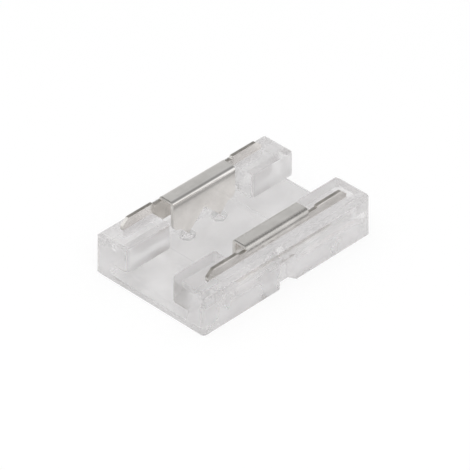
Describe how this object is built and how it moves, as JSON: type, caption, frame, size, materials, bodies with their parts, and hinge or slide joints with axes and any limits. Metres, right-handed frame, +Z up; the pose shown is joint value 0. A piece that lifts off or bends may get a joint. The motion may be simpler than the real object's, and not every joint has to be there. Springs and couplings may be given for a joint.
{
  "type": "led strip connector",
  "caption": "Clear solderless joint for two LED strip ends: a moulded housing with a slot along it, and raised folded sheet contacts whose teeth pierce the strip's pads when pressed down.",
  "frame": {"origin": "middle of the housing's bottom face", "axes": "+X along the strip, +Y across it towards the back contact, +Z up out of the open side"},
  "size_m": [0.019, 0.0122, 0.005],
  "materials": {
    "clear_plastic": "clear moulded plastic with a faint haze",
    "plated_sheet": "nickel-plated sheet, satin with bright bends"
  },
  "bodies": {
    "housing": {"housing": "clear_plastic"},
    "back_contact": {"back_contact": "plated_sheet"},
    "front_contact": {"front_contact": "plated_sheet"}
  },
  "joints": [
    {"name": "back_contact_press", "type": "slide", "parent": "housing", "child": "back_contact", "axis": [0, 0, -1], "range_m": [0, 0.00065]},
    {"name": "front_contact_press", "type": "slide", "parent": "housing", "child": "front_contact", "axis": [0, 0, -1], "range_m": [0, 0.00065]}
  ]
}
